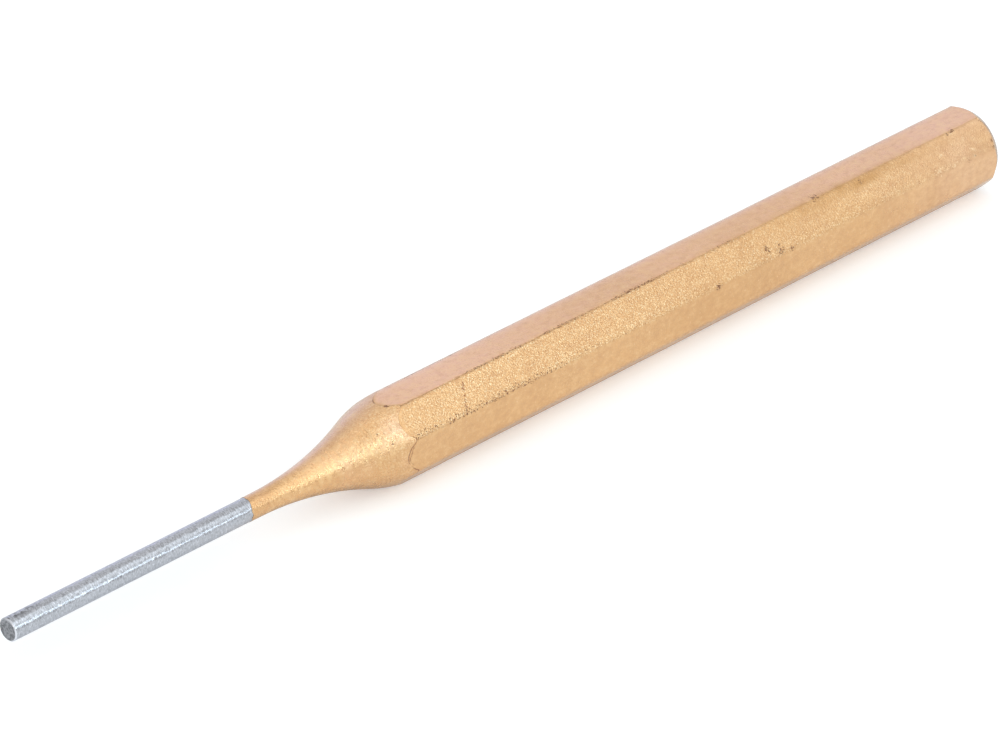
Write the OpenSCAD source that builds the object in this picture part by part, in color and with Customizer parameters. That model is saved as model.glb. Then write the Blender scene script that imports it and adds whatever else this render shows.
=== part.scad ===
// Pin punch: one steel forging with a ground pin, a turned neck and an octagonal shank,
// and the coat of lacquer that wraps everything behind the pin.
// It lies on one flat with its axis along X, its tip towards -X and the table at Z = 0.
// Sizes of the shank, neck and head are measured over the lacquer.

/* [Shank] */
// Overall length from the tip to the strike face
overall_length = 150; // [120:1:200]
// Distance across the flats of the octagon
across_flats = 10; // [8:0.5:14]
// Radius that rounds the long edges between the flats
edge_rounding = 1; // [0.4:0.1:2]

/* [Pin] */
// Diameter of the bare ground pin
pin_diameter = 2.7; // [1.8:0.1:5]
// Length of the straight pin, from the tip to where the neck begins to widen
pin_length = 35; // [25:1:50]
// Width of the small bevel round the tip
tip_bevel = 0.12; // [0.05:0.01:0.3]

/* [Neck] */
// Length over which the neck widens from the pin to its widest turn
neck_length = 22.3; // [15:0.1:35]
// Height of the neck's widest turn above the long edges of the shank
neck_overshoot = 0.15; // [0.05:0.05:0.5]
// Share of the neck that curves inwards before it curves outwards
hollow_share = 0.67; // [0.4:0.01:0.8]

/* [Head] */
// Length of the bevel round the strike face, along the long edges
bevel_length = 1.2; // [0.8:0.1:3]
// Depth of the same bevel, down from the long edges
bevel_depth = 0.75; // [0.45:0.05:1.5]
// Radius that softens the edge between the bevel and the strike face
face_rounding = 0.4; // [0.2:0.1:0.8]

/* [Lacquer] */
// Thickness of the lacquer
lacquer_thickness = 0.05; // [0.03:0.01:0.15]
// Length of the straight pin that the lacquer still covers
lacquer_lap = 1.5; // [0.5:0.1:5]
// Thickness to which the lacquer thins out at its edge on the pin
lap_edge = 0.02; // [0.01:0.01:0.03]

/* [Hidden] */

// Number of flats, and the angle from the middle of a flat to its edge
flats = 8;
half_flat = 180 / flats;

// Straight pieces in half of the neck, in a long edge and in the edge of the strike face
neck_steps = 16;
edge_steps = 4;
face_steps = 4;
$fn = 96;

// Extra length by which a cutting solid runs past what it cuts
overrun = 1;

// Distance from the axis to the centre and to the crest of a rounded long edge
edge_centre = (across_flats / 2 - edge_rounding) / cos(half_flat);
edge_radius = edge_centre + edge_rounding;

// Where the lacquer begins on the pin, and its radius where the neck begins
bare_length = pin_length - lacquer_lap;
pin_radius = pin_diameter / 2;
lap_radius = pin_radius + lacquer_thickness;

// The neck is a hollow arc and a round arc with a common tangent where they meet
neck_radius = edge_radius + neck_overshoot;
neck_slope = 2 * atan((neck_radius - lap_radius) / neck_length);
hollow_radius = hollow_share * neck_length / sin(neck_slope);
round_radius = (1 - hollow_share) * neck_length / sin(neck_slope);

// Slope of the bevel, and the centre of the arc that joins it to the strike face
bevel_slope = atan(bevel_depth / bevel_length);
face_setback = face_rounding * tan((90 - bevel_slope) / 2);
face_centre = [edge_radius - bevel_depth - face_setback, overall_length - face_rounding];

// Outline of the octagon with rounded edges, at a depth below the surface of the lacquer
function octagon(depth) = [
    for (flat = [0 : flats - 1])
        for (step = [0 : edge_steps])
            let (
                edge = (2 * flat + 1) * half_flat,
                turn = edge + half_flat * (2 * step / edge_steps - 1),
                radius = edge_rounding - depth
            )
            [
                edge_centre * cos(edge) + radius * cos(turn),
                edge_centre * sin(edge) + radius * sin(turn)
            ]
];

// Points of the neck as distance from the axis and from the tip
function hollow_arc(depth) = [
    for (step = [0 : neck_steps])
        let (turn = neck_slope * step / neck_steps)
        [
            lap_radius + hollow_radius - (hollow_radius + depth) * cos(turn),
            pin_length + (hollow_radius + depth) * sin(turn)
        ]
];

function round_arc(depth) = [
    for (step = [1 : neck_steps])
        let (turn = neck_slope * (1 - step / neck_steps))
        [
            neck_radius - round_radius + (round_radius - depth) * cos(turn),
            pin_length + neck_length - (round_radius - depth) * sin(turn)
        ]
];

// Distance from the tip at which the slope of the bevel meets the neck's widest radius
function bevel_start(depth) =
    let (reach = cos(bevel_slope) * (neck_radius - depth - face_centre[0]))
    face_centre[1] + (face_rounding - depth - reach) / sin(bevel_slope);

// Points of the arc from the bevel to the strike face
function face_arc(depth) = [
    for (step = [0 : face_steps])
        let (turn = bevel_slope + (90 - bevel_slope) * step / face_steps)
        [
            face_centre[0] + (face_rounding - depth) * cos(turn),
            face_centre[1] + (face_rounding - depth) * sin(turn)
        ]
];

// Half outline of neck, shank and head, closed to the axis at the strike face
function turned_outline(depth) = concat(
    hollow_arc(depth),
    round_arc(depth),
    [[neck_radius - depth, bevel_start(depth)]],
    face_arc(depth),
    [[0, overall_length - depth]]
);

// Turns a half outline, trims it to the octagon and lays it down on one flat
module turned_on_octagon(outline, depth) {
    translate([-overall_length / 2, 0, across_flats / 2])
        rotate([0, 90, 0])
            intersection() {
                rotate_extrude()
                    polygon(outline);
                translate([0, 0, -overrun])
                    linear_extrude(height = overall_length + 2 * overrun)
                        polygon(octagon(depth));
            }
}

// The whole punch without its lacquer
module bare_punch() {
    tip = [[0, 0], [pin_radius - tip_bevel, 0], [pin_radius, tip_bevel]];
    turned_on_octagon(concat(tip, turned_outline(lacquer_thickness)), lacquer_thickness);
}

module steel_forging() {
    color([0.66, 0.67, 0.69])
        bare_punch();
}

module lacquer_coat() {
    color([0.87, 0.68, 0.43])
        difference() {
            lap = [[0, bare_length], [pin_radius + lap_edge, bare_length]];
            turned_on_octagon(concat(lap, turned_outline(0)), 0);
            bare_punch();
        }
}

steel_forging();
lacquer_coat();
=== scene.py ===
"""Looks of a pin punch: a ground steel pin, and a turned neck and octagonal shank in gold lacquer.

Shapes are worked out in millimetres as distance from the tip, along the axis, and points round it.
They are written to the meshes in metres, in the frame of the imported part.
"""
import itertools
import math

import bpy
import numpy as np
from mathutils import Matrix, Vector


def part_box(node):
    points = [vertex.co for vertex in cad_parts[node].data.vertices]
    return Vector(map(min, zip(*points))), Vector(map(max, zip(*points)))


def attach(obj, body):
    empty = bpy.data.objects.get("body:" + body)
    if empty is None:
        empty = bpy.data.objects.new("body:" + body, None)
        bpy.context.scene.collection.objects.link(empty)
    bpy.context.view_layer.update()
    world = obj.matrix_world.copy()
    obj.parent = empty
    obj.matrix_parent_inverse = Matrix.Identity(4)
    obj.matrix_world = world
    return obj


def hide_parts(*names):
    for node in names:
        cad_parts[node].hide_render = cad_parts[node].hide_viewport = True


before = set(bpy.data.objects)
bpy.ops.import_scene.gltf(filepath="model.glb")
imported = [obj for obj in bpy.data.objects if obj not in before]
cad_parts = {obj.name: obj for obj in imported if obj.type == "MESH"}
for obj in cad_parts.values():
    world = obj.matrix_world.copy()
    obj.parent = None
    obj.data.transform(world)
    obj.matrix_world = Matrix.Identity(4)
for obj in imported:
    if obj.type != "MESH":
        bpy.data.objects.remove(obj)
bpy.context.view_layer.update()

# Sizes of the frame, in millimetres
MM = 0.001
coat_low, coat_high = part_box("lacquer_coat")
tip_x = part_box("steel_forging")[0].x
LENGTH = (coat_high.x - tip_x) / MM
ACROSS_FLATS = (coat_high.z - coat_low.z) / MM
AXIS_Z = (coat_high.z + coat_low.z) / 2 / MM
BARE_LENGTH = (coat_low.x - tip_x) / MM

# Sizes that the frame's boxes don't give, as in the part
EDGE_ROUNDING = 1.0
PIN_RADIUS = 1.35
PIN_LENGTH = 35.0
TIP_BEVEL = 0.12
TIP_RADIUS = PIN_RADIUS - TIP_BEVEL
NECK_LENGTH = 22.3
NECK_OVERSHOOT = 0.15
HOLLOW_SHARE = 0.67
BEVEL_LENGTH = 1.2
BEVEL_DEPTH = 0.75
FACE_ROUNDING = 0.4
LACQUER = 0.05
LAP_LENGTH = PIN_LENGTH - BARE_LENGTH
LAP_EDGE = 0.02

# The octagon, with its flats at every 45 degrees round the axis, from +Y through +Z
FLATS = 8
FLAT_TURN = 2 * math.pi / FLATS
HALF_FLAT = FLAT_TURN / 2
EDGE_CENTRE = (ACROSS_FLATS / 2 - EDGE_ROUNDING) / math.cos(HALF_FLAT)
EDGE_RADIUS = EDGE_CENTRE + EDGE_ROUNDING

# The flat that faces up and to the front, and the long edge at the back of the top flat
UPPER_FLAT = 3
FAR_EDGE = 1

# The neck: a hollow arc and a round arc with a common tangent
LAP_RADIUS = PIN_RADIUS + LACQUER
NECK_RADIUS = EDGE_RADIUS + NECK_OVERSHOOT
NECK_END = PIN_LENGTH + NECK_LENGTH
NECK_SLOPE = 2 * math.atan((NECK_RADIUS - LAP_RADIUS) / NECK_LENGTH)
HOLLOW_RADIUS = HOLLOW_SHARE * NECK_LENGTH / math.sin(NECK_SLOPE)
ROUND_RADIUS = (1 - HOLLOW_SHARE) * NECK_LENGTH / math.sin(NECK_SLOPE)
NECK_MIDDLE = PIN_LENGTH + HOLLOW_SHARE * NECK_LENGTH

# Forging leaves the end of the neck a little low in front of each flat and uneven in front of each
# long edge, with a ragged surface whose noise is read on a ring of this radius
NECK_DIPS = np.array([0.05, 0.08, 0.02, 0.13, 0.04, 0.06, 0.03, 0.09])
NECK_SWELLS = np.array([0.03, -0.01, 0.02, 0.085, 0.05, 0.0, 0.04, -0.02])
DIP_LENGTH = 5.0
NECK_RAGGED = 0.010
SCALLOP_RAGGED = np.array([0.02, 0.01, 0.008, 0.01, 0.07, 0.02, 0.015, 0.02])
RAGGED_RING = 5.0

# The bevel round the strike face, and the arc that joins them
BEVEL_SLOPE = math.atan(BEVEL_DEPTH / BEVEL_LENGTH)
FACE_SETBACK = FACE_ROUNDING * math.tan((math.pi / 2 - BEVEL_SLOPE) / 2)
FACE_CENTRE_R = EDGE_RADIUS - BEVEL_DEPTH - FACE_SETBACK
FACE_CENTRE_U = LENGTH - FACE_ROUNDING

# Fineness of the lacquer's mesh: pieces round each long edge and flat, and distances between rows
EDGE_PIECES = 8
FLAT_PIECES = 15
LAP_ROWS = 8
NECK_PITCH = 0.35
SHANK_PITCH = 0.17
CREASE_STEPS = (0.04, 0.09, 0.15, 0.22, 0.3, 0.4)
SCALLOP_STEPS = 800
BEVEL_ROWS = (0.06, 0.15, 0.3, 0.5, 0.7, 0.88)
ARC_ROWS = 7
FACE_ROWS = (0.94, 0.85, 0.74, 0.62, 0.5, 0.38, 0.26, 0.14, 0.05)
INNER_STRIDE = 4
SHARP_ANGLE = math.radians(35)

# Fineness of the forging's mesh
PIN_COLUMNS = 96
PIN_PITCH = 0.2
TIP_ROWS = (0.1, 0.3, 0.5, 0.7, 0.85, 0.95)
TIP_BEVEL_ROWS = (0, 0.3, 0.6, 0.9)
CORE_ROWS = 90
CORE_END_ROWS = (1, 0.6, 0.3, 0.1)

# Gap from the lacquer to the hidden steel, which clears the pits and worn edges, and the length of the
# neck over which it opens
CORE_GAP = 0.3
CORE_GAP_LENGTH = 4

# The lacquer's edge on the pin is a little skewed and ragged
LAP_SKEW = 0.16
LAP_SKEW_TURN = 0.6
LAP_RAGGED = 0.12

# Unevenness of the forging and of the ground pin: size of a bump, depth and seed of the noise, and for
# the pin how far the bumps are squeezed along X, Y and Z
FORGED = ((7.0, 0.012, 1), (2.6, 0.006, 2), (0.7, 0.002, 3))
GROUND = ((2.5, 0.004, 21, (1, 1, 1)), (1.0, 0.002, 22, (3, 1, 1)))

# Wear of the long edges, from where and over what length it grows towards the head, its width and depth
# as they are before that and by how much they grow, and the depth of the nicks
WEAR_START = 70
WEAR_LENGTH = 60
WEAR_WIDTH = (0.28, 0.3)
WEAR_DEPTH = (0.02, 0.05)
NICK_DEPTH = 0.09

# Dark lines at edges and folds: their depth and widths, the first with what a strong line adds to it
LINE_DEPTH = 0.03
SCALLOP_LINE_WIDTH = (0.085, 0.04)
SECOND_LINE_WIDTH = 0.07
EDGE_LINE_WIDTH = 0.06
CREASE_WIDTH = 0.07
BEVEL_LINE_WIDTH = 0.1

# How far they lie past the scallops, the middle of a long edge and the start of the bevel, how far they
# wander, and the share of it by which the first two do
SCALLOP_LINE_AT = 0.02
EDGE_LINE_AT = 0.05
BEVEL_LINE_AT = 0.1
LINE_WANDER = 0.14
LESS_WANDER = 0.5

# Strength of the line along the scallops, by degrees round the axis
SCALLOP_LINE = (
    (0, 0.8), (30, 0.2), (60, 0.4), (74, 0.2), (79, 1.0), (86, 1.0), (89, 0.15), (97, 0.3),
    (102, 0.8), (107, 0.4), (114, 0.5), (120, 0.05), (140, 0.05), (150, 0.4), (156, 1.3),
    (203, 1.6), (215, 0.5), (250, 0.9), (290, 0.3), (320, 0.9), (360, 0.8),
)

# A second line beside it: where it starts and ends round the axis, and how far past the scallops it is
SECOND_LINE = (166.0, 192.0, 0.36)

# How far lines and pits reach along each long edge, over what length they fade, and how strong the
# line is, in the order of the edges round the axis
PIT_REACH = np.array([83.0, 89.0, 124.0, 102.0, 57.0, 85.0, 99.0, 87.0])
PIT_FADE = 30.0
EDGE_LINE = np.array([0.6, 0.6, 0.62, 0.48, 0.6, 0.6, 0.6, 0.6])

# Share of the pits that is left past that reach, and a fringe of pits beside one long edge: its
# distance from the edge, width and strength
PITS_LEFT = 0.1
PIT_FRINGE = (0.35, 0.45, 0.7)

# A fold in the forging across one flat: its place along the punch, and how far it runs askew
CREASE_U = 62.88
CREASE_SKEW = 0.476

# Clusters of pits: place along the punch, degrees round it, spread and depth
PIT_CLUSTERS = (
    (53.38, 102.2, 0.26, 2.2), (101.8, 158.0, 0.5, 1.2), (110.6, 144.0, 0.6, 1.1),
    (112.4, 152.0, 0.8, 1.0), (114.0, 157.0, 0.4, 1.1), (121.0, 112.0, 1.0, 0.9),
    (128.0, 120.0, 0.5, 1.0), (136.0, 25.0, 0.8, 1.0), (143.4, 115.5, 0.3, 1.2),
    (143.9, 114.2, 0.3, 1.5), (144.5, 113.2, 0.3, 1.4), (149.0, 157.0, 0.4, 1.2),
    (148.9, 118.0, 0.4, 1.1), (149.0, 148.0, 0.35, 1.1), (144.4, 157.8, 0.5, 0.7),
    (145.5, 156.5, 0.4, 0.7), (96.0, 290.0, 1.0, 1.0), (50.5, 128.0, 0.25, 1.1),
    (48.0, 141.0, 0.3, 1.0), (51.5, 150.0, 0.3, 1.0),
)

# Painted glints on marks that blows have left near the head: place, degrees, half length, half width
# and strength
STRUCK_GLINTS = (
    (140.9, 136.0, 0.2, 0.5, 1), (142.2, 156.0, 0.5, 0.3, 1), (139.4, 154.0, 0.5, 0.3, 1),
    (145.6, 147.0, 0.35, 0.25, 1), (145.1, 129.0, 0.35, 0.2, 1), (143.8, 118.0, 0.3, 0.2, 1),
    (145.5, 156.5, 0.3, 0.2, 1), (133.0, 28.0, 0.4, 0.3, 1), (140.0, 205.0, 0.4, 0.3, 1),
    (143.0, 290.0, 0.5, 0.25, 1),
)

# Tarnished patches, with the same five values. The last two are long and wide, and make the front flat
# darker over most of its length
TARNISH = (
    (127.0, 118.5, 13.0, 0.75, 1.3), (60.0, 30.0, 9.0, 0.9, 1.0), (98.0, 340.0, 14.0, 0.8, 1.0),
    (132.0, 245.0, 10.0, 0.7, 1.0), (101.0, 180.0, 13.0, 2.0, 0.36), (131.0, 180.0, 8.0, 2.0, 0.34),
)

# How grainy the flats are, with painted glints in the grain's bright flecks, and how rosy, which on the
# shank is a painted sheen, in their order round the axis, and by place along the punch
GRAIN_AND_GLINTS = np.array([0.5, 0.4, 0.4, 1.0, 0.4, 0.5, 0.4, 0.8])
GRAIN_AND_GLINTS_ALONG = ((60, 0.92), (75, 0.85), (90, 0.76), (118, 0.74), (132, 0.6), (144, 0.38))
ROSE_SHEEN = np.array([0.4, 0.6, 1.0, 0.0, 0.0, 0.0, 0.6, 0.2])
ROSE_SHEEN_ALONG = ((60, 1.0), (70, 0.8), (90, 0.55), (112, 0.6), (130, 0.85), (142, 1.0))

# How far past the scallops both are at their full strength, how far from the long edges rose is, and the
# grain on the long edges. On the neck: its least, how much it grows, from where and over what length
SCALLOP_BLEND = 0.6
ROSE_EDGE_BLEND = 0.15
EDGE_GRAIN = 0.6
NECK_GRAIN = (0.2, 0.3, 46, 5)

# Where turning and grinding show. On the neck: where they end, over what length, and what is left.
# On its front, where their streaks also paint the highlight: degrees, half width and strength, then
# where that starts and ends and how soon. On the shank: start, length and strength
BRUSHED_NECK = (54, 8, 0.15)
HIGHLIGHT_STREAKS = (132, 26, 1.8)
FRONT_START = (42, 4)
FRONT_END = (60, 8)
BRUSHED_SHANK = (100, 25, 0.2)

# Where the lacquer is lilac. On the neck's upper side it is a painted sheen: degrees and half width. On
# its shoulder it is the pale end of a painted highlight: place, half length, degrees, half width and
# strength. Near the head: start, length and strength. Along the far edge it is a painted sheen: width
# and strength
SHEEN_UPPER_SIDE = (60, 24)
SHOULDER_HIGHLIGHT = (53.2, 2.4, 136, 17, 0.42)
LILAC_HEAD = (125, 18, 0.2)
FAR_EDGE_SHEEN = (0.9, 0.7)

# Where the painted shade on the rim of the head begins along the punch, over what length it comes in, and
# over what distance it does so outside the flat of the strike face
HEAD_RIM = 149.15
HEAD_RIM_BLEND = 0.3
FACE_RIM_BLEND = 0.2

# Dark smudges behind the tip: strength there, the length over which it falls by 1, and side and width
SCORCH_START = 1.3
SCORCH_LENGTH = 4.5
SCORCH_TURN = math.radians(86)
SCORCH_WIDTH = math.radians(22)

# The tip's bevel, painted with a highlight on one side: that side, how bright it is a quarter turn from
# there, and how much brighter on that side and darker on the other
RIM_HIGHLIGHT_TURN = math.radians(160)
RIM_MIDDLE = 0.3
RIM_SHINE = 0.9

# Bands of the baked pictures that the surfaces take
FIRST_BAND = (0.005, 0.475)
SECOND_BAND = (0.485, 0.955)
PIN_BAND = (0.005, 0.955)
HIDDEN_BAND = (0.97, 0.995)

# Factors that scatter the numbers of a lattice point
HASH_PLACE = np.array([374761393, 668265263, 1442695041])
HASH_SEED = 974711
HASH_SPREAD = 1274126177

# The camera, fitted to the outline of the punch in a frame of 1000 by 750 pixels
CAMERA_AZIMUTH = math.radians(-44.92)
CAMERA_ELEVATION = math.radians(30.38)
CAMERA_ROLL = math.radians(-0.26)
CAMERA_DISTANCE = 0.6852
CAMERA_AIM = (-0.00229, 0.00392)
FOCAL_PIXELS = 6165
FRAME_WIDTH = 1000
SENSOR = 36.0

# Share of the room's own level at which it lights rough surfaces; it is at its full level elsewhere
WORLD_LEVEL = 0.85

# Lamps: place and size in metres, level as a multiple of white, and colour
LAMP_COLOUR = (0.9, 1.0, 1.05)
LAMPS = {
    "beside": ((-0.04, -0.50, 0.235), (0.42, 0.09), 3.6, (0.70, 0.95, 1.06)),
    "beside_head": ((0.27, -0.50, 0.235), (0.20, 0.09), 2.6, (0.80, 0.95, 1.06)),
    "shoulder": ((0.09, -0.47, 0.46), (0.46, 0.20), 0.9, LAMP_COLOUR),
    "tip_side": ((-0.08, -0.38, 0.535), (0.30, 0.44), 0.66, (0.70, 1.0, 1.12)),
    "above": ((0.27, -0.25, 0.58), (0.75, 0.30), 0.6, LAMP_COLOUR),
    "overhead": ((0.0, 0.08, 0.60), (0.38, 0.35), 0.6, LAMP_COLOUR),
    "behind": ((0.40, 0.42, 0.34), (0.5, 0.4), 0.16, (0.7, 0.8, 1.0)),
    "window": ((0.28, 0.60, 0.12), (0.5, 0.2), 0.5, (0.5, 0.55, 1.0)),
    "before": ((-0.55, -0.27, 0.34), (0.25, 0.15), 1.0, (1, 1, 1)),
}

# The floor, and the glow that brings it up to white for the camera
FLOOR_HALF = 2.0
FLOOR_COLOUR = (0.84, 0.84, 0.84, 1)
FLOOR_GLOW = 0.34

# In reflections the glow is weak below the punch, which shades the floor there, and grows with the
# distance from the axis. Below the slim pin it is stronger, and falls from the tip along X
SHADE_REACH = (-1.3, 3.8)
GLOW_BESIDE = 0.8
PIN_REACH = (-75.0, -18.0)
GLOW_AT_TIP = 0.7


def lattice_noise(points, cell, seed):
    """Smooth noise between -1 and 1 in space, with about one bump to a cell of this size."""
    scaled = points / cell
    base = np.floor(scaled).astype(np.int64)
    part = scaled - base
    ease = part * part * (3 - 2 * part)
    total = np.zeros(len(points))
    for corner in itertools.product((0, 1), repeat=3):
        mixed = (base + corner) @ HASH_PLACE + seed * HASH_SEED
        mixed = ((mixed ^ (mixed >> 13)) * HASH_SPREAD) & 0xFFFFFFFF
        value = ((mixed ^ (mixed >> 16)) & 0xFFFF) / 32767.5 - 1
        total += value * np.prod(np.where(corner, ease, 1 - ease), axis=1)
    return total


def bump(distance, width):
    """A soft bump, 1 in the middle, about a third at this width and near 0 at twice it."""
    return np.exp(-((distance / width) ** 2))


def rising(value, start, length):
    """From 0 at the start to 1 after this length."""
    return np.clip((value - start) / length, 0, 1)


def falling(value, end, length):
    """From 1 this length before the end to 0 at the end."""
    return np.clip((end - value) / length, 0, 1)


def degrees_apart(degrees, middle):
    """How far directions round the axis are from a middle one, between -180 and 180."""
    return (degrees - middle + 180) % 360 - 180


def ring(u, radius, turn):
    """Points round the axis at one distance from the tip."""
    return np.stack([np.full_like(turn, u), radius * np.cos(turn), radius * np.sin(turn)], axis=-1)


def octagon_columns():
    """Points round the octagon: place, facing, distance from the nearest long edge, and flat."""
    rows = []
    half_width = (ACROSS_FLATS / 2 - EDGE_ROUNDING) * math.tan(HALF_FLAT)
    for flat in range(FLATS):
        edge = (2 * flat + 1) * HALF_FLAT
        for turn in np.linspace(-HALF_FLAT, HALF_FLAT, EDGE_PIECES + 1):
            y = EDGE_CENTRE * math.cos(edge) + EDGE_ROUNDING * math.cos(edge + turn)
            z = EDGE_CENTRE * math.sin(edge) + EDGE_ROUNDING * math.sin(edge + turn)
            rows.append((y, z, edge + turn, EDGE_ROUNDING * abs(turn), flat + (turn > 0)))
        facing = edge + HALF_FLAT
        for side in np.linspace(-half_width, half_width, FLAT_PIECES + 1)[1:-1]:
            y = ACROSS_FLATS / 2 * math.cos(facing) - side * math.sin(facing)
            z = ACROSS_FLATS / 2 * math.sin(facing) + side * math.cos(facing)
            from_edge = half_width - abs(side) + EDGE_ROUNDING * HALF_FLAT
            rows.append((y, z, facing, from_edge, flat + 1))
    y, z, facing, from_edge, flat = np.array(rows).T
    return y, z, facing, from_edge, flat.astype(int) % FLATS


def octagon_radius(turn):
    """Distance from the axis to the octagon in each direction."""
    from_flat = np.abs((turn + HALF_FLAT) % FLAT_TURN - HALF_FLAT)
    from_edge = HALF_FLAT - from_flat
    beside = np.minimum(EDGE_CENTRE * np.sin(from_edge), EDGE_ROUNDING)
    on_edge = EDGE_CENTRE * np.cos(from_edge) + np.sqrt(EDGE_ROUNDING**2 - beside**2)
    flat_end = math.atan((1 - 2 * EDGE_ROUNDING / ACROSS_FLATS) * math.tan(HALF_FLAT))
    return np.where(from_flat < flat_end, ACROSS_FLATS / 2 / np.cos(from_flat), on_edge)


def neck_profile(u):
    """Distance from the axis to the turned neck at u, and its slope."""
    lap = LAP_RADIUS - (LACQUER - LAP_EDGE) * (PIN_LENGTH - u) / LAP_LENGTH
    into = np.clip(u - PIN_LENGTH, 0, HOLLOW_RADIUS * math.sin(NECK_SLOPE))
    left = np.clip(NECK_END - u, 0, ROUND_RADIUS * math.sin(NECK_SLOPE))
    hollow = LAP_RADIUS + HOLLOW_RADIUS - np.sqrt(HOLLOW_RADIUS**2 - into**2)
    rounded = NECK_RADIUS - ROUND_RADIUS + np.sqrt(ROUND_RADIUS**2 - left**2)
    radius = np.where(u < PIN_LENGTH, lap, np.where(u < NECK_MIDDLE, hollow, rounded))
    slope = np.where(u < NECK_MIDDLE, np.arcsin(into / HOLLOW_RADIUS), np.arcsin(left / ROUND_RADIUS))
    return radius, slope


def forged_neck(u, turn):
    """Distance from the axis to the neck, with the shallow dips in front of the flats."""
    radius, slope = neck_profile(u)
    onset = rising(u, NECK_MIDDLE, DIP_LENGTH)
    flat = np.round(turn / FLAT_TURN).astype(int) % FLATS
    edge = np.floor(turn / FLAT_TURN).astype(int) % FLATS
    on_flat = (1 + np.cos(FLATS * turn)) / 2
    dip = NECK_DIPS[flat] * on_flat
    swell = NECK_SWELLS[edge] * (1 - on_flat)
    points = ring(0, RAGGED_RING, turn)
    noise = lattice_noise(points, cell=0.9, seed=31) + 0.6 * lattice_noise(points, cell=0.4, seed=32)
    ragged = (NECK_RAGGED + SCALLOP_RAGGED[flat] * on_flat) * noise
    return radius + (swell - dip - ragged) * onset * onset * (3 - 2 * onset), slope


def scallop_u(turn, radius):
    """Where the neck reaches the octagon in each direction, at its edge with the flats."""
    u = np.linspace(NECK_MIDDLE, NECK_END, SCALLOP_STEPS)[:, None]
    neck, _ = forged_neck(u, turn)
    reached = np.argmax(neck >= radius, axis=0)
    column = np.arange(len(turn))
    before = neck[reached - 1, column] - radius
    after = neck[reached, column] - radius
    return u[reached - 1, 0] + (u[1, 0] - u[0, 0]) * before / (before - after)


def bevel_u(radius):
    """Where the bevel round the strike face has this distance from the axis."""
    reach = math.cos(BEVEL_SLOPE) * (radius - FACE_CENTRE_R)
    return FACE_CENTRE_U + (FACE_ROUNDING - reach) / math.sin(BEVEL_SLOPE)


def neck_rows(scallop, turn):
    """Rows over the lap on the pin and the neck, as distance from the tip, radius and outward slope."""
    last = scallop - CREASE_STEPS[-1]
    count = round((scallop.min() - PIN_LENGTH) / NECK_PITCH)
    lap = [BARE_LENGTH + LAP_LENGTH * share for share in np.linspace(0, 1, LAP_ROWS + 1)[:-1]]
    places = [np.full_like(turn, u) for u in lap]
    places += [PIN_LENGTH + (last - PIN_LENGTH) * share for share in np.linspace(0, 1, count)]
    places += [scallop - step for step in CREASE_STEPS[-2::-1]]
    rows = []
    for u in places:
        radius, slope = forged_neck(u, turn)
        rows.append((u, radius, -slope))
    return rows


def shank_rows(scallop, bevel, radius):
    """Rows along the octagon, which follow the scallops and the bevel and are straight between."""
    start = math.ceil(scallop.max() + 1)
    end = math.floor(bevel.min() - 1)
    first = scallop + CREASE_STEPS[-1]
    last = bevel - CREASE_STEPS[-1]
    places = [scallop] + [scallop + step for step in CREASE_STEPS]
    count = round((start - first.mean()) / SHANK_PITCH)
    places += [first + (start - first) * share for share in np.linspace(0, 1, count)[1:-1]]
    count = round((end - start) / SHANK_PITCH)
    places += [np.full_like(radius, u) for u in np.linspace(start, end, count)]
    count = round((last.mean() - end) / SHANK_PITCH)
    places += [end + (last - end) * share for share in np.linspace(0, 1, count)[1:]]
    places += [bevel - step for step in CREASE_STEPS[-2::-1]] + [bevel]
    return [(u, radius, np.zeros_like(radius)) for u in places]


def head_rows(radius):
    """Rows over the bevel, round its arc and across the strike face."""
    arc_start = FACE_CENTRE_R + FACE_ROUNDING * math.cos(BEVEL_SLOPE)
    rows = []
    for share in BEVEL_ROWS:
        at = radius + (arc_start - radius) * share
        rows.append((bevel_u(at), at, np.full_like(at, BEVEL_SLOPE)))
    turned = []
    for tilt in np.linspace(BEVEL_SLOPE, math.pi / 2, ARC_ROWS):
        u = FACE_CENTRE_U + FACE_ROUNDING * math.sin(tilt)
        at = FACE_CENTRE_R + FACE_ROUNDING * math.cos(tilt)
        turned.append((u, at, tilt))
    turned += [(LENGTH, FACE_CENTRE_R * share, math.pi / 2) for share in FACE_ROWS]
    rows += [[np.full_like(radius, value) for value in row] for row in turned]
    return rows


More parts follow.
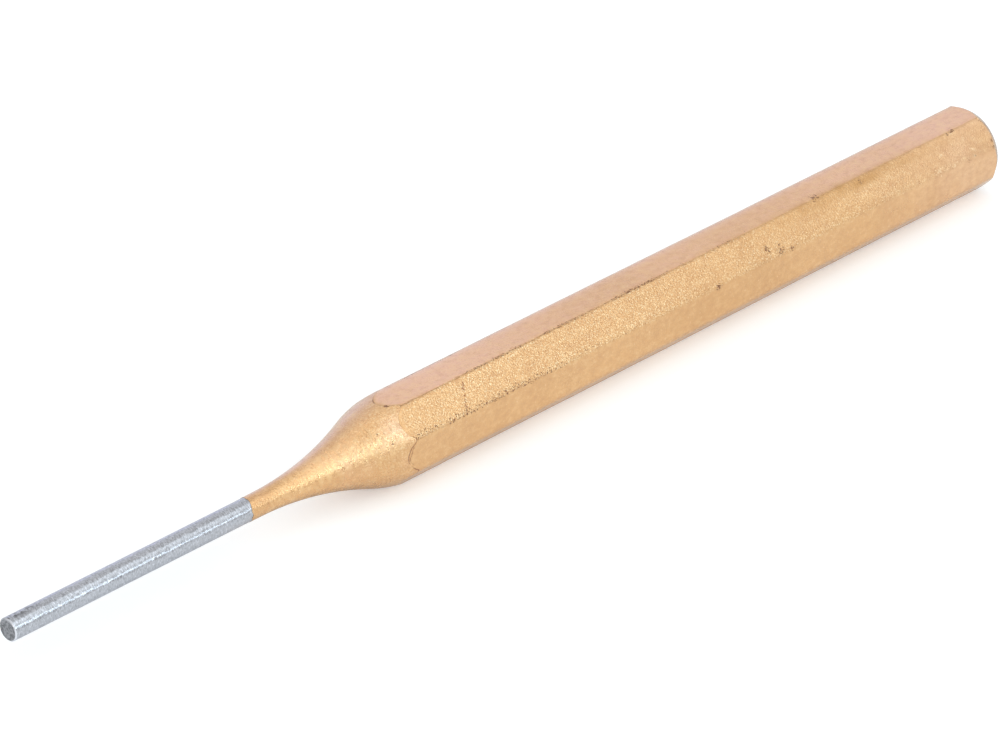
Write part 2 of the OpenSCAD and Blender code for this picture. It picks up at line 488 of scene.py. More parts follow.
class Skin:
    """The outer surface of the lacquer, in rows along the punch by columns round it."""

    def __init__(self):
        y, z, facing, from_edge, flat = octagon_columns()
        turn = np.arctan2(z, y)
        radius = np.hypot(y, z)
        scallop = scallop_u(turn, radius)
        bevel = bevel_u(radius)
        neck = neck_rows(scallop, turn)
        shank = shank_rows(scallop, bevel, radius)
        self.u, r, slope = np.moveaxis(np.array(neck + shank + head_rows(radius)), 1, 0)
        row = np.arange(len(self.u))[:, None]
        on_shank = (row >= len(neck)) & (row < len(neck) + len(shank))

        round_axis = np.where(on_shank, facing, turn)
        outward = [np.sin(slope), np.cos(slope) * np.cos(round_axis), np.cos(slope) * np.sin(round_axis)]
        self.place = np.stack([self.u, r * np.cos(turn), r * np.sin(turn)], axis=-1)
        self.direction = np.stack(outward, axis=-1)
        self.reach = np.hypot(self.place[..., 1], self.place[..., 2])
        turn = np.arctan2(self.place[..., 2], self.place[..., 1]) % (2 * math.pi)
        self.degrees = np.degrees(turn)
        self.edge = np.floor(turn / FLAT_TURN).astype(int) % FLATS

        across = z * np.cos(flat * FLAT_TURN) - y * np.sin(flat * FLAT_TURN)
        self.past_scallop = self.u - scallop
        self.past_bevel = self.u - bevel
        self.from_edge = np.where(on_shank, from_edge, np.maximum(from_edge, EDGE_ROUNDING))
        self.flat = np.broadcast_to(flat, self.u.shape)
        self.across = np.broadcast_to(across, self.u.shape)
        self.on_shank = np.broadcast_to(on_shank, self.u.shape)

    def noise(self, cell, seed):
        """Smooth noise over the surface, between -1 and 1."""
        return lattice_noise(self.place.reshape(-1, 3), cell, seed).reshape(self.u.shape)

    def patchy(self, level, swing, cell, seed, highest=1):
        """A weight that swings about its level from patch to patch, between 0 and the highest."""
        return np.clip(level + swing * self.noise(cell, seed), 0, highest)

    def arc_from(self, middle):
        """Distance round the axis from a direction in degrees, on a turn of the shank's size."""
        return ACROSS_FLATS / 2 * np.radians(degrees_apart(self.degrees, middle))


def scallop_line(skin, jitter):
    """The dark line where the neck meets the flats, with a second one beside it in one place."""
    broken = skin.patchy(0.6, 1.1, cell=0.4, seed=7)
    marked = np.interp(skin.degrees, *np.array(SCALLOP_LINE).T)
    narrow, wider = SCALLOP_LINE_WIDTH
    width = narrow + wider * rising(marked, 1, 1)
    line = bump(skin.past_scallop - SCALLOP_LINE_AT - LESS_WANDER * jitter, width)
    line = line * np.clip(broken * marked, 0, 1)
    start, end, gap = SECOND_LINE
    beside = bump(skin.past_scallop - gap - jitter, SECOND_LINE_WIDTH) * broken
    return np.maximum(line, beside * (skin.degrees > start) * (skin.degrees < end))


def edge_line(skin, jitter, edge_reach):
    """The broken dark line along the long edges."""
    dashes = 0.6 * skin.noise(cell=0.3, seed=8) + 0.3 * skin.noise(cell=1.7, seed=16) + 0.6
    dashes = np.clip(dashes, 0, 1) * edge_reach
    along_edge = bump(skin.from_edge - EDGE_LINE_AT - LESS_WANDER * jitter, EDGE_LINE_WIDTH)
    return along_edge * dashes * EDGE_LINE[skin.edge] * skin.on_shank


def crease_line(skin):
    """The fold in the forging across one flat."""
    crease_at = CREASE_U - CREASE_SKEW * skin.across + 0.13 * skin.noise(cell=0.6, seed=9)
    broken = skin.patchy(0.8, 1.0, cell=0.35, seed=10)
    return bump(skin.u - crease_at, CREASE_WIDTH) * (skin.flat == UPPER_FLAT) * broken


def bevel_line(skin, jitter):
    """The faint, broken line where the flats meet the bevel."""
    broken = skin.patchy(0.1, 0.9, cell=0.6, seed=19)
    return bump(skin.past_bevel - BEVEL_LINE_AT - jitter, BEVEL_LINE_WIDTH) * broken


def pits(skin, near_edge, edge_reach):
    """Where the surface is pitted: along the long edges, beside one of them and in clusters."""
    patches = skin.patchy(0.6, 0.8, cell=3.0, seed=11, highest=0.78)
    pitted = near_edge * (PITS_LEFT + (1 - PITS_LEFT) * edge_reach) * patches
    middle, width, strength = PIT_FRINGE
    fringe = bump(skin.from_edge - middle, width) * (skin.flat == UPPER_FLAT) * (skin.across > 0)
    pitted = np.maximum(pitted, strength * (fringe * edge_reach))
    for at, middle, spread, strength in PIT_CLUSTERS:
        distance = np.hypot(skin.u - at, skin.arc_from(middle))
        pitted = np.maximum(pitted, strength * bump(distance, spread))
    return pitted


def marks(skin, table, wavering=0):
    """The strongest mark of a table at each point, with the marks' sides shifted by the wavering."""
    weight = np.zeros(skin.u.shape)
    for at, middle, half_length, half_width, strength in table:
        mark = bump(skin.u - at, half_length) * bump(skin.arc_from(middle) - wavering, half_width)
        weight = np.maximum(weight, strength * mark)
    return weight


def tarnish(skin):
    """Where the lacquer is tarnished, in long patches with wavering sides."""
    patches = marks(skin, TARNISH, wavering=0.3 * skin.noise(cell=2.5, seed=14))
    return patches * (0.8 + 0.3 * skin.noise(cell=1.3, seed=15))


def grain_and_glints_weight(skin, near_edge, rise):
    """How much grain and its painted glints show: most on one flat, and less towards the head."""
    fade = np.interp(skin.u, *np.array(GRAIN_AND_GLINTS_ALONG).T)
    blotches = skin.patchy(0.85, 0.25, cell=6.0, seed=12, highest=1.1)
    on_shank = rise * fade * blotches * np.maximum(GRAIN_AND_GLINTS[skin.flat], EDGE_GRAIN * near_edge)
    least, more, start, length = NECK_GRAIN
    on_neck = (least + more * rising(skin.u, start, length)) * fade
    return np.where(skin.on_shank, on_shank, on_neck)


def brushed_and_highlight_weight(skin):
    """How much turning and grinding show: on the neck, most on its front where they paint the highlight, and
    faintly near the head.
    """
    end, length, left = BRUSHED_NECK
    on_neck = np.maximum(falling(skin.u, end, length), left)
    middle, half_width, strength = HIGHLIGHT_STREAKS
    front = strength * bump(skin.degrees - middle, half_width)
    front = front * rising(skin.u, *FRONT_START) * falling(skin.u, *FRONT_END)
    start, length, strength = BRUSHED_SHANK
    return np.where(skin.on_shank, strength * rising(skin.u, start, length), np.maximum(on_neck, front))


def rose_tint_and_sheen_weight(skin, rise):
    """How rosy the lacquer is: a painted sheen by flat on the shank, and faint patches on the neck."""
    along = np.interp(skin.u, *np.array(ROSE_SHEEN_ALONG).T)
    on_shank = along * ROSE_SHEEN[skin.flat] * rising(skin.from_edge, 0, ROSE_EDGE_BLEND) * rise
    on_neck = skin.patchy(0.0, 0.2, cell=2.2, seed=17)
    return np.where(skin.on_shank, on_shank, on_neck) * skin.patchy(0.85, 0.25, cell=9.0, seed=13)


def lilac_tint_and_sheen_weight(skin):
    """How lilac it is: painted sheen on the neck's upper side and far edge, painted highlight on its
    shoulder, tint near the head.
    """
    middle, half_width = SHEEN_UPPER_SIDE
    upper_side = bump(degrees_apart(skin.degrees, middle), half_width) * (skin.u < NECK_END)
    at, half_length, middle, half_width, strength = SHOULDER_HIGHLIGHT
    shoulder = strength * bump(skin.u - at, half_length) * bump(skin.degrees - middle, half_width)
    start, length, strength = LILAC_HEAD
    near_head = strength * rising(skin.u, start, length)
    width, strength = FAR_EDGE_SHEEN
    far_edge = strength * bump(skin.from_edge, width) * (skin.edge == FAR_EDGE)
    weight = np.where(skin.on_shank, np.maximum(near_head, far_edge), np.maximum(upper_side, shoulder))
    return weight * skin.patchy(0.8, 0.3, cell=2.0, seed=18)


def rim_shade_weight(skin):
    """Where painted shade darkens the rim of the head, outside the flat of the strike face."""
    outside = rising(skin.reach, FACE_CENTRE_R, FACE_RIM_BLEND)
    return rising(skin.u, HEAD_RIM, HEAD_RIM_BLEND) * outside


def weathered(skin):
    """How deep the forged surface lies below its nominal place, and the weights that the finish reads."""
    worn = rising(skin.u, WEAR_START, WEAR_LENGTH)
    near_edge = bump(skin.from_edge, WEAR_WIDTH[0] + WEAR_WIDTH[1] * worn) * skin.on_shank
    nicks = np.clip(skin.noise(cell=0.5, seed=4) - 0.35, 0, 1) * (0.6 + 0.4 * skin.noise(cell=4.0, seed=5))
    jitter = LINE_WANDER * skin.noise(cell=0.55, seed=6)
    edge_reach = falling(skin.u, PIT_REACH[skin.edge], PIT_FADE)
    line = np.maximum(scallop_line(skin, jitter), edge_line(skin, jitter, edge_reach))
    line = np.maximum(line, np.maximum(crease_line(skin), bevel_line(skin, jitter)))
    depth = sum(size * (1 + skin.noise(cell, seed)) for cell, size, seed in FORGED)
    depth += near_edge * (WEAR_DEPTH[0] + WEAR_DEPTH[1] * worn + NICK_DEPTH * nicks)
    depth += LINE_DEPTH * line

    rise = rising(skin.past_scallop, 0, SCALLOP_BLEND)
    weights = {
        "grain_and_glints": grain_and_glints_weight(skin, near_edge, rise),
        "line": line,
        "pitted": pits(skin, near_edge, edge_reach),
        "tarnish": tarnish(skin),
        "struck_glint_marks": marks(skin, STRUCK_GLINTS) * skin.on_shank,
        "brushed_and_highlight": brushed_and_highlight_weight(skin),
        "rose_tint_and_sheen": rose_tint_and_sheen_weight(skin, rise),
        "lilac_tint_and_sheen": lilac_tint_and_sheen_weight(skin),
        "painted_rim": rim_shade_weight(skin),
    }
    return depth, weights


def grid_faces(first, along, around, low, high):
    """Faces between rows of vertices that close round the axis, and their corners in the baked picture.

    The rows run along the picture and the columns across the band between low and high.
    """
    rows, columns = len(along), len(around) - 1
    row, column = np.meshgrid(np.arange(rows - 1), np.arange(columns), indexing="ij")
    row, column = row.ravel(), column.ravel()
    corners = ((row, column), (row, column + 1), (row + 1, column + 1), (row + 1, column))
    faces = np.stack([first + i * columns + j % columns for i, j in corners], -1)
    band = low + (high - low) * around
    uvs = np.stack([np.stack([along[i], band[j]], -1) for i, j in corners], 1)
    return faces, uvs


def cap_faces(centre, ring_start, along, around, low, high):
    """Triangles from a row of vertices to one in its middle, and their corners in the baked picture."""
    column = np.arange(len(around) - 1)
    after = (column + 1) % len(column)
    faces = np.stack([ring_start + column, ring_start + after, np.full_like(column, centre)], -1)
    band = low + (high - low) * around
    places = (band[column], band[column + 1], (band[column] + band[column + 1]) / 2)
    uvs = np.stack([np.stack([np.full(len(column), along), v], -1) for v in places], 1)
    return faces, uvs


def lap_faces(inner_start, around):
    """The lacquer's edge on the pin, between its first outer row and its first inner row."""
    column = np.arange(len(around) - 1)
    after = (column + 1) % len(column)
    faces = np.stack([after, column, inner_start + column, inner_start + after], -1)
    band = FIRST_BAND[1] * around
    start = np.zeros(len(column))
    uvs = np.stack([np.stack([start, band[at]], -1) for at in (after, column) * 2], 1)
    return faces, uvs


def turned_over(faces, uvs):
    """The same faces seen from the other side."""
    return faces[:, ::-1], uvs[:, ::-1]


def travelled(steps):
    """Distance after each of these steps, as a share of them all, with the start in front."""
    distance = np.concatenate([[0], np.cumsum(steps)])
    return distance / distance[-1]


def profile_length(place):
    """Distance along the rows of a surface, from 0 at the first to 1 at the last."""
    return travelled(np.linalg.norm(np.diff(place, axis=0), axis=-1).mean(axis=1))


def stretched(along):
    """The same distances, stretched to run from 0 to 1."""
    return (along - along[0]) / (along[-1] - along[0])


def put_in_scene(name, data):
    """A new object in the scene with this mesh, lamp or camera."""
    made = bpy.data.objects.new(name, data)
    bpy.context.scene.collection.objects.link(made)
    return made


def make_mesh(name, places, patches, floats):
    """A smooth mesh from places in millimetres from the tip and axis, with values on its vertices."""
    metres = (places + [0, 0, AXIS_Z]) * MM + [tip_x, 0, 0]
    mesh = bpy.data.meshes.new(name)
    mesh.from_pydata(metres.tolist(), [], [face for faces, _ in patches for face in faces.tolist()])
    for key, values in floats.items():
        attribute = mesh.attributes.new(key, "FLOAT", "POINT")
        attribute.data.foreach_set("value", values.astype(np.float32))
    layer = mesh.uv_layers.new(name="OFBake")
    corners = np.concatenate([uvs.reshape(-1, 2) for _, uvs in patches])
    layer.uv.foreach_set("vector", corners.astype(np.float32).ravel())
    mesh.shade_smooth()
    mesh.set_sharp_from_angle(angle=SHARP_ANGLE)
    mesh.update()
    return put_in_scene(name, mesh)


def lacquered_place(skin, depth):
    """Places of the lacquer's outer surface, with its uneven edge on the pin."""
    near_lap = falling(skin.u, PIN_LENGTH, LAP_LENGTH)
    place = skin.place - skin.direction * (depth * (1 - near_lap))[..., None]
    first = skin.place[0]
    skew = LAP_SKEW * np.cos(np.arctan2(first[:, 2], first[:, 1]) - LAP_SKEW_TURN)
    ragged = LAP_RAGGED * lattice_noise(first * [1, 3, 3], cell=1.2, seed=11)
    place[..., 0] += (skew + ragged) * near_lap
    return place


def lacquer_coat():
    """The lacquer as a closed skin: its outer surface, its edge on the pin and its inner surface."""
    skin = Skin()
    depth, weights = weathered(skin)
    rows, columns = depth.shape
    place = lacquered_place(skin, depth)
    inner_rows = list(range(0, rows, INNER_STRIDE)) + [rows - 1]
    inner = place[inner_rows] - skin.direction[inner_rows] * LACQUER
    on_pin = PIN_RADIUS / (PIN_RADIUS + LAP_EDGE)
    inner[0] = place[0] * [1, on_pin, on_pin]
    end = LENGTH - depth[-1].mean()
    centres = [[end, 0, 0], [end - LACQUER, 0, 0]]
    places = np.concatenate([place.reshape(-1, 3), inner.reshape(-1, 3), centres])

    outer_count = rows * columns
    centre = outer_count + len(inner_rows) * columns
    along = profile_length(place)
    middle = np.searchsorted(along, 0.5)
    sides = np.diff(place[middle], axis=0, append=place[middle][:1])
    around = travelled(np.linalg.norm(sides, axis=-1))
    patches = [
        grid_faces(0, stretched(along[: middle + 1]), around, *FIRST_BAND),
        grid_faces(middle * columns, stretched(along[middle:]), around, *SECOND_BAND),
        cap_faces(centre, outer_count - columns, 1, around, *SECOND_BAND),
        turned_over(*grid_faces(outer_count, along[inner_rows], around, *HIDDEN_BAND)),
        turned_over(*cap_faces(centre + 1, centre - columns, 1, around, *HIDDEN_BAND)),
        lap_faces(outer_count, around),
    ]
    unseen = np.zeros(len(places) - outer_count)
    floats = {key: np.concatenate([values.ravel(), unseen]) for key, values in weights.items()}
    return make_mesh("gold_lacquer", places, patches, floats)


def hidden_steel(turn, end):
    """Rows of the steel under the lacquer, up to its end behind the strike face."""
    core_radius = octagon_radius(turn)
    rows = []
    for u in np.linspace(PIN_LENGTH + 1, LENGTH - BEVEL_LENGTH, CORE_ROWS):
        neck, _ = neck_profile(np.array([min(u, NECK_END)]))
        gap = CORE_GAP * min(1, (u - PIN_LENGTH) / CORE_GAP_LENGTH)
        rows.append(ring(u, np.minimum(neck, core_radius) - LACQUER - gap, turn))
    rows += [ring(end, FACE_CENTRE_R * share, turn) for share in CORE_END_ROWS]
    return rows


def ground_unevenness(place):
    """How deep the ground surface of the pin lies below its nominal place."""
    points = place.reshape(-1, 3)
    depth = sum(size * (1 + lattice_noise(points * scale, cell, seed)) for cell, size, seed, scale in GROUND)
    return depth.reshape(place.shape[:2])


def steel_weights(places):
    """The weights that the steel's finish reads: the tip's face, the painted highlight on its bevel and the
    smudges behind it.
    """
    u, r = places[:, 0], np.hypot(places[:, 1], places[:, 2])
    turn = np.arctan2(places[:, 2], places[:, 1])
    face_radius = TIP_RADIUS * 0.99
    lit_side = np.cos(turn - RIM_HIGHLIGHT_TURN)
    top_side = bump(turn - SCORCH_TURN, SCORCH_WIDTH)
    return {
        "end": ((u < TIP_BEVEL / 10) & (r < face_radius)).astype(float),
        "painted_rim": ((u < TIP_BEVEL) & (r > face_radius)) * np.clip(RIM_MIDDLE + RIM_SHINE * lit_side, 0, 1),
        "scorched": np.clip(SCORCH_START - u / SCORCH_LENGTH, 0, 1) * top_side * (u > TIP_BEVEL),
    }


def steel_forging():
    """The forging: tip, ground pin and the steel under the lacquer, as one closed mesh."""
    turn = np.arange(PIN_COLUMNS) * 2 * math.pi / PIN_COLUMNS
    tip = [(0, TIP_RADIUS * share) for share in TIP_ROWS]
    tip += [(TIP_BEVEL * share, TIP_RADIUS + TIP_BEVEL * share) for share in TIP_BEVEL_ROWS]
    pin_count = round((BARE_LENGTH - TIP_BEVEL) / PIN_PITCH)
    pin = [(u, PIN_RADIUS) for u in np.linspace(TIP_BEVEL * 1.2, PIN_LENGTH, pin_count)]
    seen = len(tip) + len(pin)
    end = LENGTH - LACQUER - CORE_GAP
    place = np.array([ring(u, r, turn) for u, r in tip + pin] + hidden_steel(turn, end))
    row = np.arange(len(place))
    on_pin = (row >= len(tip)) & (row < seen)
    shrink = 1 - ground_unevenness(place) / PIN_RADIUS * on_pin[:, None]
    place[..., 1:] *= shrink[..., None]

    along = profile_length(place)
    around = np.linspace(0, 1, PIN_COLUMNS + 1)
    centre = len(place) * PIN_COLUMNS
    patches = [
        turned_over(*cap_faces(centre, 0, 0, around, *PIN_BAND)),
        grid_faces(0, stretched(along[:seen]), around, *PIN_BAND),
        grid_faces((seen - 1) * PIN_COLUMNS, stretched(along[seen - 1:]), around, *HIDDEN_BAND),
        cap_faces(centre + 1, centre - PIN_COLUMNS, 1, around, *HIDDEN_BAND),
    ]
    places = np.concatenate([place.reshape(-1, 3), [[0, 0, 0], [end, 0, 0]]])
    return make_mesh("ground_steel", places, patches, steel_weights(places))


def srgb(red, green, blue):
    """A colour for a shader from its values out of 255 on a screen."""
    linear = [(v / 255 / 12.92 if v < 11 else ((v / 255 + 0.055) / 1.055) ** 2.4) for v in (red, green, blue)]
    return (*linear, 1)


# Colours of the lacquer
GOLD_DEEP = srgb(219, 168, 110)
GOLD_LIGHT = srgb(227, 177, 118)
# Rose gold and blush paint a sheen on the upper flats of the shank, and tint faint patches on the neck
ROSE_GOLD = srgb(250, 200, 164)
BLUSH = srgb(240, 184, 168)
# Lilac paints a sheen on the neck's upper side and far edge, and a highlight's pale end on its shoulder
LILAC = srgb(244, 209, 202)
SMUDGE_DARK = srgb(196, 142, 96)
SMUDGE_PALE = srgb(252, 214, 160)
# Bright flakes are partly painted glints
FLAKE_BRIGHT = srgb(255, 236, 192)
FLAKE_DARK = srgb(184, 130, 78)
TARNISHED = srgb(200, 148, 84)
# Streak colours, which on the neck's front paint its highlight
STREAK_BRIGHT = srgb(255, 232, 180)
STREAK_DARK = srgb(190, 140, 90)
# Painted glints on struck marks
GLINT_PALE = srgb(254, 222, 176)
PIT_BROWN = srgb(122, 62, 16)
LINE_BROWN = srgb(138, 74, 26)
# Painted shade on the head's rim
RIM_SHADE = srgb(178, 146, 130)
LACQUER_EDGE_TINT = (0.6, 0.52, 0.38, 1.0)

# Colours of the steel
STEEL_DEEP = srgb(175, 177, 182)
STEEL_LIGHT = srgb(190, 192, 198)
RING_BRIGHT = srgb(226, 229, 238)
RING_DARK = srgb(132, 135, 142)
SCORCHED = srgb(92, 91, 92)
END_DEEP = srgb(116, 117, 120)
END_LIGHT = srgb(160, 161, 165)
# Painted highlight on the tip's bevel
TIP_BRIGHT = srgb(232, 234, 240)
STEEL_EDGE_TINT = (0.88, 0.88, 0.9, 1.0)


class Nodes:
    """A shader built node by node."""

    def __init__(self, tree):
        self.tree = tree
        tree.nodes.clear()

    def connect(self, value, socket):
        """Link a socket to another, or set its value."""
        if isinstance(value, bpy.types.NodeSocket):
            self.tree.links.new(value, socket)
        else:
            socket.default_value = value

    def add(self, kind, inputs=None, **settings):
        """A node with these settings and inputs."""
        node = self.tree.nodes.new(kind)
        for key, value in settings.items():
            setattr(node, key, value)
        for key, value in (inputs or {}).items():
            self.connect(value, node.inputs[key])
        return node

    def vector(self, operation, a, b=None, scale=None):
        """A calculation with vectors."""
        node = self.add("ShaderNodeVectorMath", {0: a}, operation=operation)
        if b is not None:
            self.connect(b, node.inputs[1])
        if scale is not None:
            node.inputs["Scale"].default_value = scale
        return node.outputs["Value" if operation == "LENGTH" else "Vector"]

    def maths(self, operation, a, b):
        """A calculation with numbers."""
        return self.add("ShaderNodeMath", {0: a, 1: b}, operation=operation).outputs[0]

    def times(self, a, b):
        """The product of two numbers."""
        return self.maths("MULTIPLY", a, b)

    def plus(self, a, b):
        """The sum of two numbers."""
        return self.maths("ADD", a, b)

    def noise(self, where, scale, detail=2.0, roughness=0.5):
        """Noise between 0 and 1, with this many bumps to a unit of where it is read."""
        inputs = {"Vector": where, "Scale": scale, "Detail": detail, "Roughness": roughness}
        return self.add("ShaderNodeTexNoise", inputs).outputs["Fac"]

    def ramp(self, value, low, high, to_low=0.0, to_high=1.0):
        """A number stretched from one range to another, and held at its ends."""
        inputs = {"Value": value, "From Min": low, "From Max": high, "To Min": to_low, "To Max": to_high}
        return self.add("ShaderNodeMapRange", inputs).outputs["Result"]

    def mix(self, share, a, b):
        """Colour a with this share of colour b."""
        node = self.add("ShaderNodeMix", {0: share}, data_type="RGBA")
        self.connect(a, node.inputs[6])
        self.connect(b, node.inputs[7])
        return node.outputs[2]


class Finish(Nodes):
    """A material. Places on it are in millimetres."""

    def __init__(self, name):
        self.material = bpy.data.materials.new(name)
        self.material.use_nodes = True
        super().__init__(self.material.node_tree)
        self.place = self.vector("SCALE", self.add("ShaderNodeTexCoord").outputs["Object"], scale=1 / MM)

    def weight(self, name):
        """One of the values on the vertices."""
        return self.add("ShaderNodeAttribute", attribute_name=name).outputs["Fac"]

    def round_axis(self, along, around):
        """Places stretched round the axis, for marks that turning and grinding leave."""
        centred = self.vector("SUBTRACT", self.place, (0, 0, AXIS_Z))
        direction = self.vector("NORMALIZE", self.vector("MULTIPLY", centred, (0, 1, 1)))
        spread = self.vector("SCALE", direction, scale=around)
        lengthways = self.vector("MULTIPLY", self.place, (along, 0, 0))
        return self.vector("ADD", spread, lengthways)

    def relief(self, height, distance, normal=None):
        """The normal of a surface whose height varies over this distance in millimetres."""
        node = self.add("ShaderNodeBump", {"Height": height, "Distance": distance * MM, "Strength": 1.0})
        if normal is not None:
            self.connect(normal, node.inputs["Normal"])
        return node.outputs["Normal"]

    def done(self, **inputs):
        """The finished material."""
        shader = self.add("ShaderNodeBsdfPrincipled", {k.replace("_", " "): v for k, v in inputs.items()})
        self.add("ShaderNodeOutputMaterial", {"Surface": shader.outputs[0]})
        return self.material


def gold_colour(f):
    """The plain lacquer: gold with soft smudges, and rose and lilac that are mostly painted sheen and
    highlight.
    """
    rose_tint_and_sheen = f.weight("rose_tint_and_sheen")
    tone = f.ramp(f.noise(f.place, 0.16, 3.0), 0.35, 0.65)
    colour = f.mix(tone, GOLD_DEEP, GOLD_LIGHT)
    colour = f.mix(rose_tint_and_sheen, colour, ROSE_GOLD)
    blush = f.times(rose_tint_and_sheen, f.ramp(f.noise(f.place, 0.9, 2.0), 0.4, 0.65, 0.0, 0.4))
    colour = f.mix(blush, colour, BLUSH)
    # Painted sheen and highlight in lilac, and a lilac tint near the head
    colour = f.mix(f.times(f.weight("lilac_tint_and_sheen"), 0.8), colour, LILAC)
    smudge = f.noise(f.vector("MULTIPLY", f.place, (1.0, 1.4, 1.4)), 1.0, 4.0, 0.65)
    colour = f.mix(f.ramp(smudge, 0.5, 0.75, 0.0, 0.4), colour, SMUDGE_DARK)
    return f.mix(f.ramp(smudge, 0.5, 0.25, 0.0, 0.4), colour, SMUDGE_PALE)


def flaked_colour(f, colour, grain_and_glints):
    """The lacquer with metal flakes, whose bright flecks are painted glints where the grain is strong, and
    its tarnish.
    """
    flakes = f.noise(f.place, 5.8, 1.5, 0.6)
    glitter = f.ramp(grain_and_glints, 0.2, 1.0, 0.0, 0.9)
    colour = f.mix(f.times(f.ramp(flakes, 0.53, 0.66), glitter), colour, FLAKE_BRIGHT)
    colour = f.mix(f.times(f.ramp(flakes, 0.46, 0.33), glitter), colour, FLAKE_DARK)
    return f.mix(f.times(f.weight("tarnish"), 0.75), colour, TARNISHED)


def brushed_and_highlight_colour(f, colour, streaks, brushed_and_highlight):
    """The lacquer with the streaks of turning and grinding, which also paint the neck's highlight in light
    and dark.
    """
    colour = f.mix(f.times(f.ramp(streaks, 0.52, 0.70, 0.0, 0.25), brushed_and_highlight), colour, STREAK_BRIGHT)
    return f.mix(f.times(f.ramp(streaks, 0.48, 0.30, 0.0, 0.25), brushed_and_highlight), colour, STREAK_DARK)


def marked_colour(f, colour, pit):
    """The lacquer with painted glints on struck marks, brown pits and lines, and painted shade on the head's
    rim.
    """
    # Painted glints on the marks that blows have left, and on scattered flecks
    struck = f.plus(f.noise(f.place, 3.2, 2.0, 0.6), f.times(f.weight("struck_glint_marks"), 0.26))
    colour = f.mix(f.ramp(struck, 0.64, 0.76, 0.0, 0.6), colour, GLINT_PALE)
    colour = f.mix(f.times(pit, 0.85), colour, PIT_BROWN)
    broken = f.ramp(f.noise(f.place, 4.0), 0.35, 0.6, 0.4, 0.9)
    colour = f.mix(f.times(f.ramp(f.weight("line"), 0.1, 0.55), broken), colour, LINE_BROWN)
    # Painted shade on the rim of the head
    return f.mix(f.times(f.weight("painted_rim"), 0.8), colour, RIM_SHADE)


def lacquer_finish():
    """Gold lacquer full of metal flakes, over a forging that shows through as grain, pits and grinding."""
    f = Finish("gold_lacquer")
    grain_and_glints = f.weight("grain_and_glints")
    brushed_and_highlight = f.weight("brushed_and_highlight")
    streaks = f.noise(f.round_axis(2.8, 3.6), 1.0, 2.0, 0.65)
    pitted = f.plus(f.noise(f.place, 5.0, 2.0, 0.6), f.times(f.weight("pitted"), 0.27))
    pit = f.ramp(pitted, 0.75, 0.82)
    colour = flaked_colour(f, gold_colour(f), grain_and_glints)
    colour = brushed_and_highlight_colour(f, colour, streaks, brushed_and_highlight)
    colour = marked_colour(f, colour, pit)

    height = f.times(f.noise(f.place, 4.8, 2.0, 0.6), f.ramp(grain_and_glints, 0.0, 1.0, 0.35, 1.0))
    normal = f.relief(height, 0.10)
    normal = f.relief(f.times(streaks, brushed_and_highlight), 0.05, normal)
    normal = f.relief(pit, -0.05, normal)
    rough = f.ramp(f.noise(f.place, 1.2, 2.0), 0.3, 0.7, 0.30, 0.38)
    rough = f.plus(rough, f.times(f.plus(streaks, -0.5), f.times(brushed_and_highlight, 1.4)))
    return f.done(
        Base_Color=colour, Metallic=1.0, Roughness=rough, Normal=normal, Specular_Tint=LACQUER_EDGE_TINT,
        Coat_Weight=1.0, Coat_Roughness=0.2, Coat_IOR=1.6, Coat_Normal=normal,
    )


def steel_finish():
    """Ground tool steel: grey, with fine marks round the axis and mottled shine."""
    f = Finish("ground_steel")
    end = f.weight("end")
    mottle = f.noise(f.place, 2.6, 3.0, 0.6)
    rings = f.noise(f.round_axis(6.5, 4.0), 1.0, 2.0, 0.65)
    colour = f.mix(f.ramp(mottle, 0.35, 0.65), STEEL_DEEP, STEEL_LIGHT)
    colour = f.mix(f.ramp(rings, 0.53, 0.70, 0.0, 0.6), colour, RING_BRIGHT)
    colour = f.mix(f.ramp(rings, 0.46, 0.30, 0.0, 0.6), colour, RING_DARK)
    scorch = f.times(f.weight("scorched"), f.ramp(f.noise(f.place, 2.2, 2.0), 0.45, 0.6))
    colour = f.mix(scorch, colour, SCORCHED)
    end_colour = f.mix(f.ramp(f.noise(f.place, 3.5), 0.4, 0.6), END_DEEP, END_LIGHT)
    colour = f.mix(end, colour, end_colour)
    # Painted highlight on one side of the tip's bevel
    colour = f.mix(f.times(f.weight("painted_rim"), 0.8), colour, TIP_BRIGHT)
    normal = f.relief(f.plus(rings, f.times(mottle, 0.4)), 0.018)
    normal = f.relief(f.noise(f.round_axis(1.6, 3.0), 1.0, 1.0), 0.035, normal)
    rough = f.plus(f.ramp(mottle, 0.3, 0.7, 0.16, 0.26), f.times(end, 0.25))
    return f.done(
        Base_Color=colour, Metallic=1.0, Roughness=rough, Normal=normal, Specular_Tint=STEEL_EDGE_TINT,
    )


def facing_matrix(place, side, back):
    """A place and direction for a camera or lamp that looks away from back, with this side to its right."""
    turned = Matrix((side, back.cross(side), back)).transposed()
    return Matrix.Translation(place) @ turned.to_4x4()


def make_camera():
    """A long lens from in front of the tip, aimed a little to the left of the middle of the punch."""
    flat = math.cos(CAMERA_ELEVATION)
    across = math.sin(-CAMERA_AZIMUTH) * flat
    ahead = math.cos(CAMERA_AZIMUTH) * flat
    forward = Vector((across, ahead, -math.sin(CAMERA_ELEVATION)))
    level = forward.cross(Vector((0, 0, 1))).normalized()
    upright = level.cross(forward)
    right = level * math.cos(CAMERA_ROLL) + upright * math.sin(CAMERA_ROLL)
    up = upright * math.cos(CAMERA_ROLL) - level * math.sin(CAMERA_ROLL)
    position = -forward * CAMERA_DISTANCE
    aim = right * CAMERA_AIM[0] + up * CAMERA_AIM[1]
    back = (position - aim).normalized()
    data = bpy.data.cameras.new("camera")
    data.sensor_width = SENSOR
    data.lens = SENSOR * FOCAL_PIXELS / FRAME_WIDTH
    data.clip_start = 0.01
    data.clip_end = 20
    camera = put_in_scene("camera", data)
    camera.matrix_world = facing_matrix(position, up.cross(back).normalized(), back)
    bpy.context.scene.camera = camera


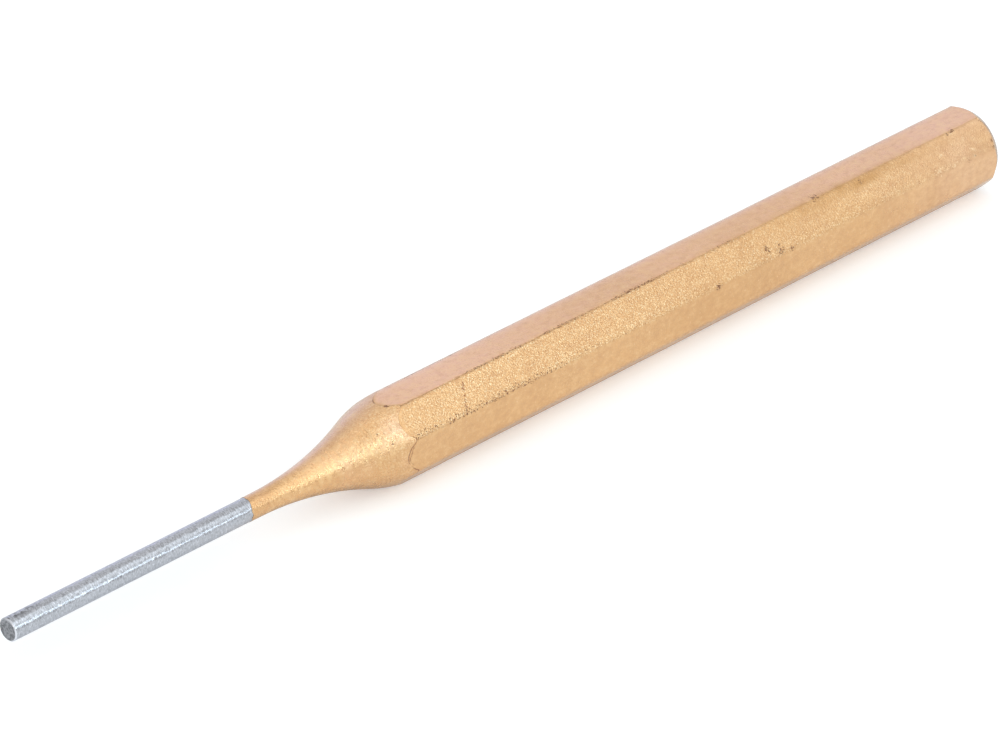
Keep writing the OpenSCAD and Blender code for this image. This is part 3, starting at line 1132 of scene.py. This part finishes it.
def soft_box(name, place, size, level, colour):
    """A lamp that faces the punch, whose face adds this many times the level of white."""
    data = bpy.data.lights.new(name, "AREA")
    data.shape = "RECTANGLE"
    data.size, data.size_y = size
    data.energy = level * math.pi * size[0] * size[1]
    data.color = colour
    back = Vector(place).normalized()
    side = (Vector((1, 0, 0)) - back * back.x).normalized()
    put_in_scene(name, data).matrix_world = facing_matrix(Vector(place), side, back)


def make_room():
    """A pale room, with lamps beside the punch, above it, behind it and in front of it."""
    world = bpy.data.worlds.new("white_room")
    bpy.context.scene.world = world
    world.use_nodes = True
    room = Nodes(world.node_tree)
    path = room.add("ShaderNodeLightPath")
    seen = room.maths("MAXIMUM", path.outputs["Is Camera Ray"], path.outputs["Is Glossy Ray"])
    strength = room.ramp(seen, 0.0, 1.0, WORLD_LEVEL, 1.0)
    background = room.add("ShaderNodeBackground", {"Strength": strength})
    room.add("ShaderNodeOutputWorld", {"Surface": background.outputs[0]})
    for name, (place, size, level, colour) in LAMPS.items():
        soft_box(name, place, size, level, colour)


def floor_finish():
    """White, with a glow that only the camera and reflections see."""
    f = Finish("white_floor")
    diffuse = f.add("ShaderNodeBsdfDiffuse", {"Color": FLOOR_COLOUR})
    path = f.add("ShaderNodeLightPath")
    x, y, _ = f.add("ShaderNodeSeparateXYZ", {0: f.place}).outputs
    past_head = f.maths("MAXIMUM", f.maths("SUBTRACT", x, LENGTH / 2), 0.0)
    away = f.vector("LENGTH", f.add("ShaderNodeCombineXYZ", {0: past_head, 1: y}).outputs[0])
    beside = f.ramp(away, *SHADE_REACH, 0.0, GLOW_BESIDE)
    along_pin = f.ramp(x, *PIN_REACH, GLOW_AT_TIP, 0.0)
    mirrored = f.times(path.outputs["Is Glossy Ray"], f.maths("MAXIMUM", beside, along_pin))
    seen = f.maths("MAXIMUM", path.outputs["Is Camera Ray"], mirrored)
    glow = f.add("ShaderNodeEmission", {"Color": (1, 1, 1, 1), "Strength": f.times(seen, FLOOR_GLOW)})
    both = f.add("ShaderNodeAddShader", {0: diffuse.outputs[0], 1: glow.outputs[0]})
    f.add("ShaderNodeOutputMaterial", {"Surface": both.outputs[0]})
    return f.material


def make_floor():
    """A plain floor, which its glow makes white to the camera."""
    mesh = bpy.data.meshes.new("floor")
    corners = [(x * FLOOR_HALF, y * FLOOR_HALF, 0) for x, y in ((-1, -1), (1, -1), (1, 1), (-1, 1))]
    mesh.from_pydata(corners, [], [(0, 1, 2, 3)])
    mesh.materials.append(floor_finish())
    floor = put_in_scene("floor", mesh)


coat = lacquer_coat()
coat.data.materials.append(lacquer_finish())
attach(coat, "root")
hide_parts("lacquer_coat")

forging = steel_forging()
forging.data.materials.append(steel_finish())
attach(forging, "root")
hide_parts("steel_forging")

make_camera()
make_room()
make_floor()
bpy.context.scene.view_settings.view_transform = "Standard"
